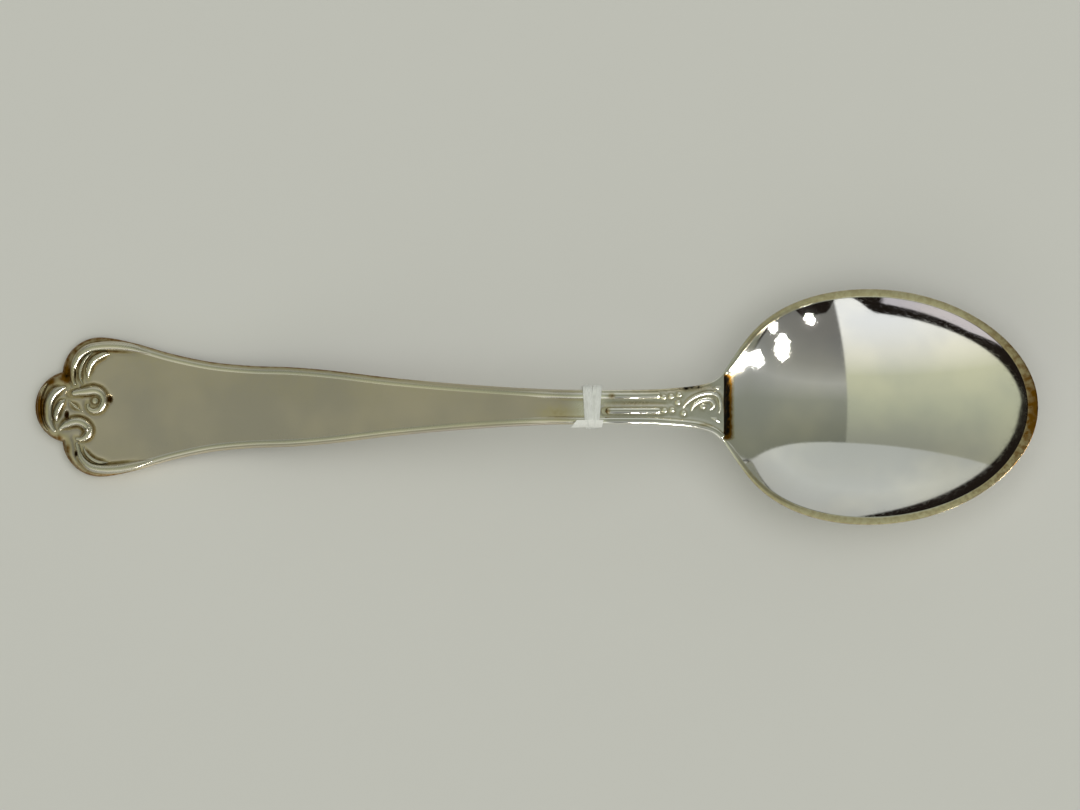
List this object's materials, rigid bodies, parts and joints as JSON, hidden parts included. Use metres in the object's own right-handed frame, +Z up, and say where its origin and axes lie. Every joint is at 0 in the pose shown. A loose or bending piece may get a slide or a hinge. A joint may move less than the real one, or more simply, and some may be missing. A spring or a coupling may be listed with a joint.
{
  "type": "teaspoon",
  "caption": "Small silver table spoon with an oval bowl, a reeded stem, a scrolled handle end and a thread tie that slides on the stem.",
  "frame": {"origin": "centre of the bounding box in plan, at the height of the surface that the spoon lies on", "axes": "+X along the spoon towards the bowl's tip, +Y to the left seen from above, +Z up out of the bowl"},
  "size_m": [0.125, 0.0294, 0.0155],
  "materials": {
    "polished_silver": "polished",
    "satin_silver": "satin, lightly tarnished",
    "relief_silver": "polished tops, darker hollows",
    "cotton": "soft white thread",
    "tab_paper": "thin smooth white paper"
  },
  "bodies": {
    "spoon": {"bowl": "polished_silver", "stem": "polished_silver", "handle": "satin_silver", "upper_border_thread": "relief_silver", "lower_border_thread": "relief_silver", "stem_ridge": "relief_silver", "upper_scroll": "relief_silver", "upper_mid_reed": "relief_silver", "upper_inner_reed": "relief_silver", "centre_scroll": "relief_silver", "centre_eye": "relief_silver", "lower_scroll": "relief_silver", "lower_volute": "relief_silver", "lower_reed": "relief_silver", "crest_lip": "relief_silver", "crest_ridge": "relief_silver", "crest_inner_ridge": "relief_silver", "crest_leaf": "relief_silver", "shoulder_scroll": "relief_silver", "shoulder_volute": "relief_silver", "shoulder_beads": "relief_silver", "shoulder_corners": "relief_silver"},
    "tie": {"tie_thread": "cotton", "tie_knot": "cotton", "tie_tab": "tab_paper"}
  },
  "joints": [
    {"name": "tie_slide", "type": "slide", "parent": "spoon", "child": "tie", "axis": [1, 0, 0], "range_m": [-0.0025, 0.0025]}
  ]
}
